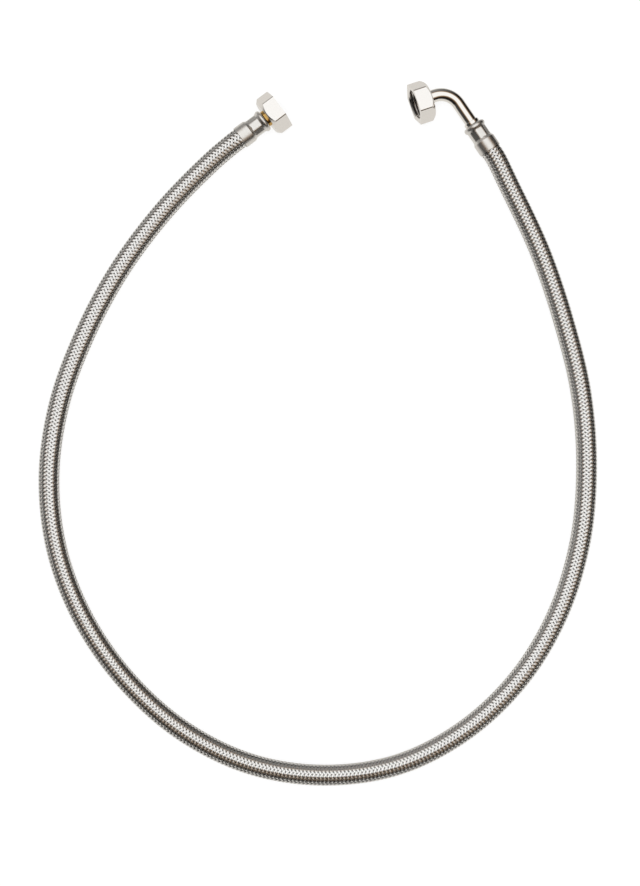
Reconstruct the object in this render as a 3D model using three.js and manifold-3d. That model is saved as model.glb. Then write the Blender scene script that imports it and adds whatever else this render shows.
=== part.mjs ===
// Braided flexible hose: a rubber tube in a stainless braid, a crimped ferrule and a union nut at each end.
// One end is straight and the other is a bent pipe. Millimetres, +Z up, and the hose lies in an open loop.
import * as THREE from "three";
import { mergeVertices } from "three/addons/utils/BufferGeometryUtils.js";
import Module from "manifold-3d";

const wasm = await Module();
wasm.setup();

// Clearances
const SEAT_GAP = 0.3; // between pieces that rest on each other or pass through each other
const SKIRT_GAP = 0.25; // between the braid and the skirt of a ferrule

// Hose
const HOSE_DIAMETER = 14;
const BRAID_WALL = 0.7;
const TUBE_BORE = 8;
const CRIMPED_BRAID_WALL = 0.4;
const HOSE_SIDES = 12;
const HOSE_STEPS = 36;
const TAPER_LEAD = 1; // the hose starts to narrow this far before the skirt ends
const TAPER_LENGTH = 1.8;
const TAIL_OVERLAP = 1; // the squeezed end of the hose reaches this far into its loop
const TAIL_INSET = 0.1; // and is this much smaller there, so that the two surfaces stay apart

// Ferrules, measured from the rear edge of the skirt towards the nut
const FERRULE_WALL = 0.4;
const SKIRT_LENGTH = 8;
const SHOULDER_LENGTH = 1.4;
const WAIST_LENGTH = 7.2;
const FLARE_LENGTH = 1.9;
const HEAD_LENGTH = 2;
const WAIST_DIAMETER = 13.2;
const CRIMP_FLATS = 8;
const CRIMP_DEPTH = 0.25;
const HEAD_DIAMETER = 15.4;
const EDGE_ROUND = 0.3;
const LIP_THICKNESS = 0.6;

// Tails: the spigot in the hose, the neck or pipe, and the flange that the nut pulls on
const WATERWAY = 6;
const SPIGOT_START = 1; // the spigot's tip lies this far inside the skirt
const BARB_PITCH = 3;
const BARB_DEPTH = 0.3;
const BARB_LEAD_IN = 0.4;
const NECK_DIAMETER = 11.4;
const NECK_LENGTH = 1.4; // the brass that shows between the ferrule and the nut
const PIPE_DIAMETER = 8.6;
const BEAD_DIAMETER = 10.6;
const BEAD_LENGTH = 2.4;
const PIPE_RUN = 17.1; // straight pipe between the ferrule and the bend
const BEND_RADIUS = 14; // of the pipe's centreline
const BEND_ANGLE = 75;
const BEND_STEPS = 7;
const PIPE_END_RUN = 4.5; // straight pipe between the bend and the nut
const FLANGE_CLEARANCE = 1.8; // between the flange's rim and the thread
const FLANGE_THICKNESS = 1.6;

// Union nuts, for a half-inch pipe thread
const ACROSS_FLATS = 25;
const NUT_LENGTH = 11;
const NUT_END_WALL = 2.2;
const THREAD_DIAMETER = 19.8; // the pitch diameter of the thread
const THREAD_CHAMFER = 0.7;
const CHAMFER_ANGLE = 45;
const CHAMFER_START = 0.95; // width of the chamfer's end circle, as a share of the width across flats

// Sealing washers
const WASHER_BORE = 10.4;
const WASHER_CLEARANCE = 0.6; // between the washer's rim and the thread
const WASHER_THICKNESS = 2;

// How the two ends lie: the middle of each skirt's rear edge, and the direction from there, in degrees
const STRAIGHT_END = { x: -85, y: -13.5, heading: 37, pitch: 0, roll: 0 };
const ELBOW_END = { x: 83, y: -21, heading: 124.5, pitch: 2, roll: 7.3 };
const END_LEAD = 6; // the hose leaves each ferrule straight for this far

// The loop's centreline between the ferrules, as [x, y, height above lying flat]
const ROUTE = [
  [-104.5, -29.5, 4.3],
  [-136, -61.5, 1.5],
  [-166, -101.5, 0.2],
  [-189.5, -145.5, 0],
  [-206.5, -192.5, 0],
  [-213, -242, 0],
  [-207, -291.5, 0],
  [-188.5, -337.5, 0],
  [-159, -378.5, 0],
  [-121.5, -411, 0],
  [-76.5, -432.5, 0],
  [-27, -439.5, 0],
  [22, -432, 0],
  [66, -409, 0],
  [102, -374.5, 0],
  [127.5, -332, 0],
  [142.5, -284, 0],
  [147, -234.5, 0],
  [143.5, -184.5, 0],
  [132, -136, 0],
  [116, -88.5, 0.1],
  [95, -43.5, 0.8],
];

// Sizes that follow from those above
const HOSE_RADIUS = HOSE_DIAMETER / 2;
const TUBE_RADIUS = HOSE_RADIUS - BRAID_WALL - SEAT_GAP;
const SPIGOT_RADIUS = TUBE_BORE / 2 - SEAT_GAP;
const SKIRT_BORE_RADIUS = HOSE_RADIUS + SKIRT_GAP;
const SKIRT_RADIUS = SKIRT_BORE_RADIUS + FERRULE_WALL;
const WAIST_START = SKIRT_LENGTH + SHOULDER_LENGTH;
const WAIST_END = WAIST_START + WAIST_LENGTH;
const FERRULE_LENGTH = WAIST_END + FLARE_LENGTH + HEAD_LENGTH;
const WAIST_BORE_RADIUS = WAIST_DIAMETER / 2 - CRIMP_DEPTH - FERRULE_WALL;
const CRIMPED_BRAID_RADIUS = WAIST_BORE_RADIUS - SEAT_GAP;
const CRIMPED_TUBE_RADIUS = CRIMPED_BRAID_RADIUS - CRIMPED_BRAID_WALL - SEAT_GAP;
const HOSE_END = FERRULE_LENGTH - HEAD_LENGTH; // how far the hose reaches into a ferrule
const COLLAR_START = FERRULE_LENGTH + SEAT_GAP;
const STRAIGHT_NUT_START = COLLAR_START + NECK_LENGTH;
const BEND_START = FERRULE_LENGTH + PIPE_RUN;
const CORNER_RADIUS = ACROSS_FLATS / Math.sqrt(3);
const THREAD_RADIUS = THREAD_DIAMETER / 2;
const FLANGE_RADIUS = THREAD_RADIUS - FLANGE_CLEARANCE;
const FLANGE_START = NUT_END_WALL + SEAT_GAP; // from the nut's rear face, as is the washer's start
const ELBOW_NUT_SHIFT = FLANGE_CLEARANCE - SEAT_GAP; // the loose nut has slid sideways up to the flange
const WASHER_START = FLANGE_START + FLANGE_THICKNESS + SEAT_GAP;
const WASHER_RADIUS = THREAD_RADIUS - WASHER_CLEARANCE;

// How the solids are made
const ROUND_SEGMENTS = 24;
const JOIN = 0.1; // solids that are joined overlap by this much
const CUT_MARGIN = 1; // a cutting solid reaches this far past what it cuts

const FINISHES = {
  braid: { color: 0xb9babb, roughness: 0.35, metalness: 1 },
  rubber: { color: 0x1d1d1f, roughness: 0.8, metalness: 0 },
  steel: { color: 0xc9c8c6, roughness: 0.2, metalness: 1 },
  brass: { color: 0xc9a45c, roughness: 0.25, metalness: 1 },
  nickel: { color: 0xd8d4cd, roughness: 0.15, metalness: 1 },
  gasket: { color: 0x2b2a28, roughness: 0.7, metalness: 0 },
};

// Turns a closed three.js geometry into a solid for joining and cutting.
function toSolid(geometry) {
  const bare = geometry.clone();
  bare.deleteAttribute("normal");
  bare.deleteAttribute("uv");
  const merged = mergeVertices(bare);
  const numbers = {
    numProp: 3,
    vertProperties: new Float32Array(merged.attributes.position.array),
    triVerts: new Uint32Array(merged.index.array),
  };
  return new wasm.Manifold(new wasm.Mesh(numbers));
}

function toGeometry(solid) {
  const mesh = solid.getMesh();
  const geometry = new THREE.BufferGeometry();
  geometry.setAttribute("position", new THREE.BufferAttribute(mesh.vertProperties, 3));
  geometry.setIndex(new THREE.BufferAttribute(mesh.triVerts, 1));
  geometry.computeVertexNormals();
  return geometry;
}

// A round solid about +Z from a profile of [radius, height], which runs up the outside and down the inside.
function turned(profile, segments = ROUND_SEGMENTS) {
  const closed = [...profile, profile[0]].map(([radius, height]) => new THREE.Vector2(radius, height));
  return toSolid(new THREE.LatheGeometry(closed, segments).rotateX(Math.PI / 2));
}

function cylinder(radius, from, to, segments = ROUND_SEGMENTS) {
  const geometry = new THREE.CylinderGeometry(radius, radius, to - from, segments);
  return toSolid(geometry.rotateX(Math.PI / 2).translate(0, 0, (from + to) / 2));
}

function polygon(radius, sides, PathClass) {
  const corners = [];
  for (let i = 0; i < sides; i += 1) {
    const angle = (i / sides) * 2 * Math.PI;
    corners.push(new THREE.Vector2(radius * Math.cos(angle), radius * Math.sin(angle)));
  }
  return new PathClass(corners);
}

// A section swept along a curve. With a bore it is a ring, whose flats keep clear of what lies inside.
function swept(curve, steps, radius, bore, sides) {
  const section = polygon(radius, sides, THREE.Shape);
  if (bore > 0) section.holes.push(polygon(bore / Math.cos(Math.PI / sides), sides, THREE.Path));
  return toSolid(new THREE.ExtrudeGeometry(section, { steps, extrudePath: curve }));
}

function piece(name, geometry, finish) {
  const mesh = new THREE.Mesh(geometry, new THREE.MeshStandardMaterial(FINISHES[finish]));
  mesh.name = name;
  return mesh;
}

// The turn that takes +Z along a heading and pitch, with +Y up before the roll about the new +Z.
function turnTo({ heading, pitch, roll }) {
  const [h, p] = [THREE.MathUtils.degToRad(heading), THREE.MathUtils.degToRad(pitch)];
  const along = new THREE.Vector3(Math.cos(h) * Math.cos(p), Math.sin(h) * Math.cos(p), Math.sin(p));
  const side = new THREE.Vector3(0, 0, 1).cross(along).normalize();
  const basis = new THREE.Matrix4().makeBasis(side, along.clone().cross(side), along);
  const turn = new THREE.Quaternion().setFromRotationMatrix(basis);
  const rolled = new THREE.Quaternion().setFromAxisAngle(along, THREE.MathUtils.degToRad(roll));
  return rolled.multiply(turn);
}

// The centreline of the elbow's bend, which leaves +Z and turns towards +X.
class Bend extends THREE.Curve {
  getPoint(t, target = new THREE.Vector3()) {
    const angle = t * THREE.MathUtils.degToRad(BEND_ANGLE);
    const x = BEND_RADIUS * (1 - Math.cos(angle));
    return target.set(x, 0, BEND_START + BEND_RADIUS * Math.sin(angle));
  }
}

// The end of the bent pipe, as if a nut sat in line on it: the rear face is PIPE_END_RUN beyond the bend.
function pipeEndFrame() {
  const end = new Bend().getPoint(1);
  const turn = new THREE.Quaternion().setFromAxisAngle(
    new THREE.Vector3(0, 1, 0),
    THREE.MathUtils.degToRad(BEND_ANGLE),
  );
  const rear = new THREE.Vector3(0, 0, PIPE_END_RUN).applyQuaternion(turn).add(end);
  return new THREE.Matrix4().compose(rear, turn, new THREE.Vector3(1, 1, 1));
}

// Each end is placed so that the lower rear edge of its nut touches the floor.
function endFrame(end, nutFrame) {
  const turn = turnTo(end);
  const unit = new THREE.Vector3(1, 1, 1);
  const nut = new THREE.Matrix4().compose(new THREE.Vector3(), turn, unit).multiply(nutFrame);
  const edge = new THREE.Vector3(0, -ACROSS_FLATS / 2, 0).applyMatrix4(nut);
  return new THREE.Matrix4().compose(new THREE.Vector3(end.x, end.y, -edge.z), turn, unit);
}

function hoseCurve(straightFrame, elbowFrame) {
  const at = (frame, height) => new THREE.Vector3(0, 0, height).applyMatrix4(frame);
  const middle = ROUTE.map(([x, y, lift]) => new THREE.Vector3(x, y, HOSE_RADIUS + lift));
  return new THREE.CatmullRomCurve3([
    at(straightFrame, 0),
    at(straightFrame, -END_LEAD),
    ...middle,
    at(elbowFrame, -END_LEAD),
    at(elbowFrame, 0),
  ]);
}

// The hose inside a ferrule: full size in the skirt, then squeezed onto the spigot by the crimp.
function crimpedTail(outer, inner, crimpedOuter, crimpedInner) {
  const taperStart = SKIRT_LENGTH - TAPER_LEAD;
  const taperEnd = taperStart + TAPER_LENGTH;
  const wideInner = inner > crimpedInner ? inner + TAIL_INSET : inner;
  return turned([
    [outer - TAIL_INSET, -TAIL_OVERLAP],
    [outer - TAIL_INSET, taperStart],
    [crimpedOuter, taperEnd],
    [crimpedOuter, HOSE_END],
    [crimpedInner, HOSE_END],
    [crimpedInner, taperEnd],
    [wideInner, taperStart],
    [wideInner, -TAIL_OVERLAP],
  ]);
}

function hoseLayer(curve, frames, outer, inner, crimpedOuter, crimpedInner) {
  let layer = swept(curve, HOSE_STEPS, outer, inner, HOSE_SIDES);
  for (const frame of frames) {
    const tail = crimpedTail(outer, inner, crimpedOuter, crimpedInner).transform(frame.elements);
    layer = layer.add(tail);
  }
  return toGeometry(layer);
}

function innerTube(curve, frames) {
  const bore = TUBE_BORE / 2;
  return hoseLayer(curve, frames, TUBE_RADIUS, bore, CRIMPED_TUBE_RADIUS, bore);
}

function braidSleeve(curve, frames) {
  const inner = HOSE_RADIUS - BRAID_WALL;
  const crimpedInner = CRIMPED_BRAID_RADIUS - CRIMPED_BRAID_WALL;
  return hoseLayer(curve, frames, HOSE_RADIUS, inner, CRIMPED_BRAID_RADIUS, crimpedInner);
}

// A thin steel cup: skirt over the braid, crimped waist, flared head, and a lip that closes on the tail.
function ferrule() {
  const waist = WAIST_DIAMETER / 2;
  const head = HEAD_DIAMETER / 2;
  const headStart = WAIST_END + FLARE_LENGTH;
  const lipInside = FERRULE_LENGTH - LIP_THICKNESS;
  const cup = turned([
    [SKIRT_RADIUS - EDGE_ROUND, 0],
    [SKIRT_RADIUS, EDGE_ROUND],
    [SKIRT_RADIUS, SKIRT_LENGTH - EDGE_ROUND],
    [(2 * SKIRT_RADIUS + waist) / 3, SKIRT_LENGTH + SHOULDER_LENGTH / 3],
    [waist, WAIST_START],
    [waist, WAIST_END],
    [(waist + 2 * head) / 3, WAIST_END + FLARE_LENGTH / 2],
    [head, headStart],
    [head - EDGE_ROUND, headStart + HEAD_LENGTH / 2],
    [(head + WAIST_BORE_RADIUS) / 2, FERRULE_LENGTH],
    [SPIGOT_RADIUS + SEAT_GAP, FERRULE_LENGTH],
    [SPIGOT_RADIUS + SEAT_GAP, lipInside],
    [WAIST_BORE_RADIUS, lipInside],
    [WAIST_BORE_RADIUS, WAIST_START],
    [SKIRT_BORE_RADIUS, SKIRT_LENGTH - EDGE_ROUND],
    [SKIRT_BORE_RADIUS, 0],
  ]);
  let crimped = cup;
  for (let i = 0; i < CRIMP_FLATS; i += 1) {
    const jaw = new THREE.BoxGeometry(CRIMP_DEPTH * 2, waist, WAIST_LENGTH - CRIMP_DEPTH);
    jaw.translate(waist, 0, (WAIST_START + WAIST_END) / 2);
    jaw.rotateZ(((i + 0.5) / CRIMP_FLATS) * 2 * Math.PI);
    crimped = crimped.subtract(toSolid(jaw));
  }
  return toGeometry(crimped);
}

// The outside of a barbed spigot, from its tip to where it leaves the ferrule.
function barbProfile() {
  const profile = [[SPIGOT_RADIUS - BARB_DEPTH, SPIGOT_START]];
  for (let start = SPIGOT_START; start + BARB_PITCH < WAIST_END; start += BARB_PITCH) {
    const top = start + BARB_PITCH - BARB_LEAD_IN;
    profile.push([SPIGOT_RADIUS, top], [SPIGOT_RADIUS - BARB_DEPTH, start + BARB_PITCH]);
  }
  return profile;
}

// The straight tail: one turned brass piece from the spigot's tip to the flange.
function straightTailpiece() {
  const flange = STRAIGHT_NUT_START + FLANGE_START;
  return toGeometry(
    turned([
      ...barbProfile(),
      [SPIGOT_RADIUS, WAIST_END],
      [SPIGOT_RADIUS, COLLAR_START],
      [NECK_DIAMETER / 2, COLLAR_START],
      [NECK_DIAMETER / 2, flange],
      [FLANGE_RADIUS, flange],
      [FLANGE_RADIUS, flange + FLANGE_THICKNESS],
      [WATERWAY / 2, flange + FLANGE_THICKNESS],
      [WATERWAY / 2, SPIGOT_START],
    ]),
  );
}

// The elbow tail: a spigot, a bead against the ferrule, a bent pipe and a flange, all one piece of pipe.
function elbowPipe(endOfPipe) {
  const pipe = PIPE_DIAMETER / 2;
  const bore = WATERWAY / 2;
  const spigot = turned([
    ...barbProfile(),
    [SPIGOT_RADIUS, WAIST_END],
    [SPIGOT_RADIUS, COLLAR_START],
    [BEAD_DIAMETER / 2, COLLAR_START],
    [BEAD_DIAMETER / 2, COLLAR_START + BEAD_LENGTH],
    [pipe, COLLAR_START + BEAD_LENGTH],
    [pipe, BEND_START + JOIN],
    [0, BEND_START + JOIN],
    [0, SPIGOT_START],
  ]);
  const flange = FLANGE_START + FLANGE_THICKNESS;
  const end = turned([
    [pipe, -PIPE_END_RUN - JOIN],
    [pipe, FLANGE_START],
    [FLANGE_RADIUS, FLANGE_START],
    [FLANGE_RADIUS, flange],
    [0, flange],
    [0, -PIPE_END_RUN - JOIN],
  ]).transform(endOfPipe.elements);
  const bend = swept(new Bend(), BEND_STEPS, pipe, 0, ROUND_SEGMENTS);
  const boreBend = swept(new Bend(), BEND_STEPS, bore, 0, ROUND_SEGMENTS);
  const boreEnd = cylinder(bore, -PIPE_END_RUN - JOIN, flange + JOIN).transform(endOfPipe.elements);
  const solid = spigot.add(bend).add(end);
  const cut = cylinder(bore, SPIGOT_START - JOIN, BEND_START + JOIN).add(boreBend).add(boreEnd);
  return toGeometry(solid.subtract(cut));
}

// A union nut: hexagon with a turned chamfer at the rear, a hole for the tail, and the threaded socket.
function unionNut(tailDiameter, play) {
  const outline = polygon(CORNER_RADIUS, 6, THREE.Shape);
  const hexagon = toSolid(new THREE.ExtrudeGeometry(outline, { depth: NUT_LENGTH, bevelEnabled: false }));
  const rise = Math.tan(THREE.MathUtils.degToRad(CHAMFER_ANGLE));
  const start = (ACROSS_FLATS / 2) * CHAMFER_START;
  const wide = CORNER_RADIUS + CUT_MARGIN;
  const beyond = NUT_LENGTH + CUT_MARGIN;
  const envelope = turned(
    [
      [start, 0],
      [wide, (wide - start) * rise],
      [wide, beyond],
      [0, beyond],
      [0, 0],
    ],
    2 * ROUND_SEGMENTS,
  );
  const hole = tailDiameter / 2 + play + SEAT_GAP;
  const socket = turned([
    [hole, -CUT_MARGIN],
    [hole, NUT_END_WALL],
    [THREAD_RADIUS, NUT_END_WALL],
    [THREAD_RADIUS, NUT_LENGTH - THREAD_CHAMFER],
    [THREAD_RADIUS + THREAD_CHAMFER, NUT_LENGTH],
    [THREAD_RADIUS + THREAD_CHAMFER, beyond],
    [0, beyond],
    [0, -CUT_MARGIN],
  ]);
  return toGeometry(hexagon.intersect(envelope).subtract(socket));
}

function sealingWasher() {
  const top = WASHER_START + WASHER_THICKNESS;
  return toGeometry(
    turned([
      [WASHER_RADIUS, WASHER_START],
      [WASHER_RADIUS, top],
      [WASHER_BORE / 2, top],
      [WASHER_BORE / 2, WASHER_START],
    ]),
  );
}

// One end of the hose: its ferrule and tail lie in the end's frame, its nut and washer in the nut's.
function hoseEnd(side, frame, nutFrame, tail, tailDiameter, play) {
  const end = new THREE.Group();
  end.applyMatrix4(frame);
  end.add(piece(`${side}_ferrule`, ferrule(), "steel"), tail);
  const nut = new THREE.Group();
  nut.applyMatrix4(nutFrame);
  nut.add(piece(`${side}_union_nut`, unionNut(tailDiameter, play), "nickel"));
  nut.add(piece(`${side}_sealing_washer`, sealingWasher(), "gasket"));
  end.add(nut);
  return end;
}

const straightNutFrame = new THREE.Matrix4().makeTranslation(0, 0, STRAIGHT_NUT_START);
const pipeEnd = pipeEndFrame();
const elbowNutFrame = pipeEnd.clone().multiply(new THREE.Matrix4().makeTranslation(ELBOW_NUT_SHIFT, 0, 0));
const straightFrame = endFrame(STRAIGHT_END, straightNutFrame);
const elbowFrame = endFrame(ELBOW_END, elbowNutFrame);
const curve = hoseCurve(straightFrame, elbowFrame);
const frames = [straightFrame, elbowFrame];

const straightTail = piece("straight_tailpiece", straightTailpiece(), "brass");
const elbowTail = piece("elbow_pipe", elbowPipe(pipeEnd), "nickel");

const group = new THREE.Group();
group.add(piece("inner_tube", innerTube(curve, frames), "rubber"));
group.add(piece("braid_sleeve", braidSleeve(curve, frames), "braid"));
group.add(hoseEnd("straight", straightFrame, straightNutFrame, straightTail, NECK_DIAMETER, 0));
group.add(hoseEnd("elbow", elbowFrame, elbowNutFrame, elbowTail, PIPE_DIAMETER, ELBOW_NUT_SHIFT));

export default group;
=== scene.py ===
# %% [markdown]
# # A braided flexible hose
# The real thing carries water the last metre from a pipe to a tap or a heater. A rubber tube holds the
# water, a sleeve of woven stainless steel wire keeps the tube from bursting, and a fitting is crimped
# on at each end. One fitting is straight and the other is a bent pipe, and both end in a union nut.
# This lesson dresses the plain model of that hose. The plain model, the frame, is loaded first, because
# every new piece takes its place from it.

# %% Load the frame
import math

import bpy
import numpy as np
from mathutils import Matrix, Quaternion, Vector


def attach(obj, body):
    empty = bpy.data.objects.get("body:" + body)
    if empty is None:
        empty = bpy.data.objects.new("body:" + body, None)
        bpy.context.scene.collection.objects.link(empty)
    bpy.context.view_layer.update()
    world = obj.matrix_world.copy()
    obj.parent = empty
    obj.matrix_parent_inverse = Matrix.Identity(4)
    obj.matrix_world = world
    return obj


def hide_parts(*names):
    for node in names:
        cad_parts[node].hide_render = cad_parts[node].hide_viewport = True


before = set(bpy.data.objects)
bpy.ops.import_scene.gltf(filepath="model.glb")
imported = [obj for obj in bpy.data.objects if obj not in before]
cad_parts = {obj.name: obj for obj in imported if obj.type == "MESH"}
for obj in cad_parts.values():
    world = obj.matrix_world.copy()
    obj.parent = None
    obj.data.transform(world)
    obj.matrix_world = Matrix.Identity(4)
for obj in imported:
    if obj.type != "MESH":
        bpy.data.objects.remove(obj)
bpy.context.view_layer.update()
MM = 0.001
print("nodes in the frame:", ", ".join(sorted(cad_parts)))

# %% [markdown]
# ## The camera
# The hose lies on a white table and is seen from straight above, tilted by two degrees. A long lens keeps
# a lying object in proportion, as a product photographer would, so the lens is worked out from how
# much of the table the frame's height takes in.

# %% Camera
VIEW_CENTRE = Vector((-31.5, -218, 7)) * MM
VIEW_DISTANCE = 1474 * MM
VIEW_TILT = math.radians(2)
VIEW_HEIGHT = 593.6 * MM
SENSOR = 36

camera = bpy.data.objects.new("camera", bpy.data.cameras.new("camera"))
bpy.context.scene.collection.objects.link(camera)
camera.location = VIEW_CENTRE + VIEW_DISTANCE * Vector((0, -math.sin(VIEW_TILT), math.cos(VIEW_TILT)))
camera.rotation_euler = (VIEW_TILT, 0, 0)
camera.data.sensor_width = SENSOR
camera.data.lens = SENSOR * VIEW_DISTANCE / VIEW_HEIGHT
bpy.context.scene.camera = camera
print(f"lens {camera.data.lens:.1f} mm, {VIEW_DISTANCE:.2f} m above the table")

# %% [markdown]
# ## Helpers for materials
# Colours are written as the sRGB hex values that a colour picker shows, and Blender's shaders want them
# linear. One helper adds a node, sets what is named and links what is linked, so that each material
# below reads as a short recipe. The others fill a colour ramp and start an empty material.

# %% Colour and node helpers
def linear(colour):
    """The linear RGBA of an sRGB hex colour such as C9C8C6."""
    channels = [int(colour[i : i + 2], 16) / 255 for i in (0, 2, 4)]
    return [c / 12.92 if c <= 0.04045 else ((c + 0.055) / 1.055) ** 2.4 for c in channels] + [1]


def add_node(tree, kind, settings=None, links=None):
    """A new node, with its properties or input sockets set by name and its inputs linked."""
    node = tree.nodes.new(kind)
    for key, value in (settings or {}).items():
        if isinstance(key, str) and key in node.bl_rna.properties:
            setattr(node, key, value)
        else:
            node.inputs[key].default_value = value
    for key, socket in (links or {}).items():
        tree.links.new(socket, node.inputs[key])
    return node


def set_ramp(ramp_node, stops):
    """Gives a colour ramp its (place, colour) stops."""
    elements = ramp_node.color_ramp.elements
    while len(elements) < len(stops):
        elements.new(1)
    for element, (place, colour) in zip(elements, stops):
        element.position = place
        element.color = linear(colour)


def empty_material(name):
    """A material without nodes, and its node tree."""
    material = bpy.data.materials.new(name)
    material.use_nodes = True
    material.node_tree.nodes.clear()
    return material, material.node_tree


print("mid grey is", [round(c, 3) for c in linear("808080")])

# %% [markdown]
# ## The studio
# Chrome, nickel and steel have no look of their own: they show the room. The room here is the usual one
# for small metal parts, a broad soft light above, dark walls and a white floor. A surface that faces up
# shows the light, one that leans over shows the dark walls, and a steep one shows the floor again. That
# gives every round part a white middle, two dark bands and pale edges. The light is a long panel that
# hangs a little to one side and lies almost along the elbow's pipe, so that the pipe shows a narrow light
# and the hose a wide one. The wall behind the straight end is paler. Only reflections see this room. The
# camera sees plain white, and dull surfaces get an even fill of light from all round.

# %% The room
PANEL_ANGLE = math.radians(-38)
PANEL_STRETCH = 2.0
# The panel's middle, along the panel, across it and up
LIGHT_AXIS = Vector((-0.1, 0.2, 0.98)).normalized()
PALE_SIDE = Vector((-0.7, 0.7, 0))
PALE_WALL = [(0.1, "000000"), (0.8, "8A8987")]
FILL_LIGHT = 0.5
# The room's colours round the light's axis, by the angle to it in degrees
ROOM_RINGS = [
    (180, "DEDBD6"), (111, "D6D3CF"), (103, "55524F"), (97, "1A1918"), (60, "1C1A18"),
    (48, "5C4A39"), (36, "A88F72"), (27, "FFFFFF"),
]


def ring_place(angle):
    """The place on the ramp of an angle to the light's axis."""
    return (1 + math.cos(math.radians(angle))) / 2


world = bpy.data.worlds.new("studio")
bpy.context.scene.world = world
world.use_nodes = True
tree = world.node_tree
tree.nodes.clear()
direction = add_node(tree, "ShaderNodeTexCoord").outputs["Generated"]
panel = add_node(tree, "ShaderNodeMapping",
                 {"vector_type": "TEXTURE", "Rotation": (0, 0, PANEL_ANGLE), "Scale": (PANEL_STRETCH, 1, 1)},
                 {"Vector": direction})
panel = add_node(tree, "ShaderNodeVectorMath", {"operation": "NORMALIZE"}, {0: panel.outputs[0]})
facing = add_node(tree, "ShaderNodeVectorMath", {"operation": "DOT_PRODUCT", 1: LIGHT_AXIS},
                  {0: panel.outputs["Vector"]})
place = add_node(tree, "ShaderNodeMapRange", {"From Min": -1.0}, {"Value": facing.outputs["Value"]})
rings = add_node(tree, "ShaderNodeValToRGB", links={"Fac": place.outputs[0]})
set_ramp(rings, [(ring_place(angle), colour) for angle, colour in ROOM_RINGS])
side = add_node(tree, "ShaderNodeVectorMath", {"operation": "DOT_PRODUCT", 1: PALE_SIDE}, {0: direction})
pale = add_node(tree, "ShaderNodeValToRGB", links={"Fac": side.outputs["Value"]})
set_ramp(pale, PALE_WALL)
walls = add_node(tree, "ShaderNodeMix", {"data_type": "RGBA", "blend_type": "LIGHTEN", "Factor": 1.0},
                 {6: rings.outputs["Color"], 7: pale.outputs["Color"]})
room = add_node(tree, "ShaderNodeBackground", {"Strength": 1.0}, {"Color": walls.outputs[2]})
plain = add_node(tree, "ShaderNodeBackground", {"Color": (1, 1, 1, 1), "Strength": 1.0})
fill = add_node(tree, "ShaderNodeBackground", {"Color": (1, 1, 1, 1), "Strength": FILL_LIGHT})
rays = add_node(tree, "ShaderNodeLightPath").outputs
seen = add_node(tree, "ShaderNodeMath", {"operation": "MAXIMUM"},
                {0: rays["Is Camera Ray"], 1: rays["Is Transmission Ray"]}).outputs[0]
lit = add_node(tree, "ShaderNodeMixShader", None,
               {0: rays["Is Glossy Ray"], 1: fill.outputs[0], 2: room.outputs[0]})
background = add_node(tree, "ShaderNodeMixShader", None, {0: seen, 1: lit.outputs[0], 2: plain.outputs[0]})
add_node(tree, "ShaderNodeOutputWorld", None, {0: background.outputs[0]})
print("the room has", len(ROOM_RINGS), "rings of colour")

# %% [markdown]
# ## The lamp
# One soft box above gives the table and the dull parts their light, and the hose its faint shadow. A point
# lamp would draw a hard shadow, which the photograph doesn't show. The box is left out of reflections,
# where the room's panel takes its place, and the view transform is the plain one, so that white stays white.

# %% Lamp
LAMP_SIZE = 1.2
LAMP_HEIGHT = 1.7
LAMP_POWER = 14

lamp = bpy.data.objects.new("soft box", bpy.data.lights.new("soft box", "AREA"))
bpy.context.scene.collection.objects.link(lamp)
lamp.location = VIEW_CENTRE + Vector((0, 0, LAMP_HEIGHT))
lamp.data.size = LAMP_SIZE
lamp.data.energy = LAMP_POWER
lamp.visible_glossy = False
bpy.context.scene.view_settings.view_transform = "Standard"
print("one soft box,", LAMP_SIZE, "m wide")

# %% [markdown]
# ## The table
# A white sheet under the object. It has to be pure white to the camera, and still keep a little of the
# hose's shadow, so most of its white is its own light and the rest is lit. Reflections look through it at
# the room's floor, which is nearly as white but lies further off, as when such parts are laid on glass.

# %% Table
TABLE_SIZE = 8
TABLE_DROP = 0.05 * MM
GLOW_TO_CAMERA = 0.8
SHEET_WHITE = 0.3

bpy.ops.object.select_all(action="DESELECT")
bpy.ops.mesh.primitive_plane_add(size=TABLE_SIZE, location=(0, 0, -TABLE_DROP))
table = bpy.context.object
table.name = "table"
paper, tree = empty_material("white paper")
rays = add_node(tree, "ShaderNodeLightPath").outputs
own_light = add_node(tree, "ShaderNodeMath", {"operation": "MULTIPLY", 1: GLOW_TO_CAMERA},
                     {0: rays["Is Camera Ray"]}).outputs[0]
glow = add_node(tree, "ShaderNodeEmission", {"Color": (1, 1, 1, 1)}, {"Strength": own_light})
sheet = add_node(tree, "ShaderNodeBsdfDiffuse", {"Color": (SHEET_WHITE, SHEET_WHITE, SHEET_WHITE, 1)})
both = add_node(tree, "ShaderNodeAddShader", None, {0: glow.outputs[0], 1: sheet.outputs[0]})
add_node(tree, "ShaderNodeOutputMaterial", None, {0: both.outputs[0]})
table.data.materials.append(paper)
table.visible_glossy = False
print("table", TABLE_SIZE, "m square")

# %% [markdown]
# ## Where the two ends lie
# Each fitting is modelled upright, with its axis along +Z and the rear edge of its ferrule at zero, and is
# then turned into its place on the table. These are the same sizes as in the plain model: the heading
# of each end, and how high it must stand for the lower edge of its nut to touch the table.

# %% Sizes of the ends, in millimetres
SEAT_GAP = 0.3
HOSE_DIAMETER = 14
SKIRT_LENGTH = 8
SHOULDER_LENGTH = 1.4
WAIST_LENGTH = 7.2
FLARE_LENGTH = 1.9
HEAD_LENGTH = 2
NECK_LENGTH = 1.4
PIPE_RUN = 17.1
PIPE_END_RUN = 4.5
BEND_RADIUS = 14
BEND_ANGLE = math.radians(75)
ACROSS_FLATS = 25
ELBOW_NUT_SHIFT = 1.5

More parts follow.
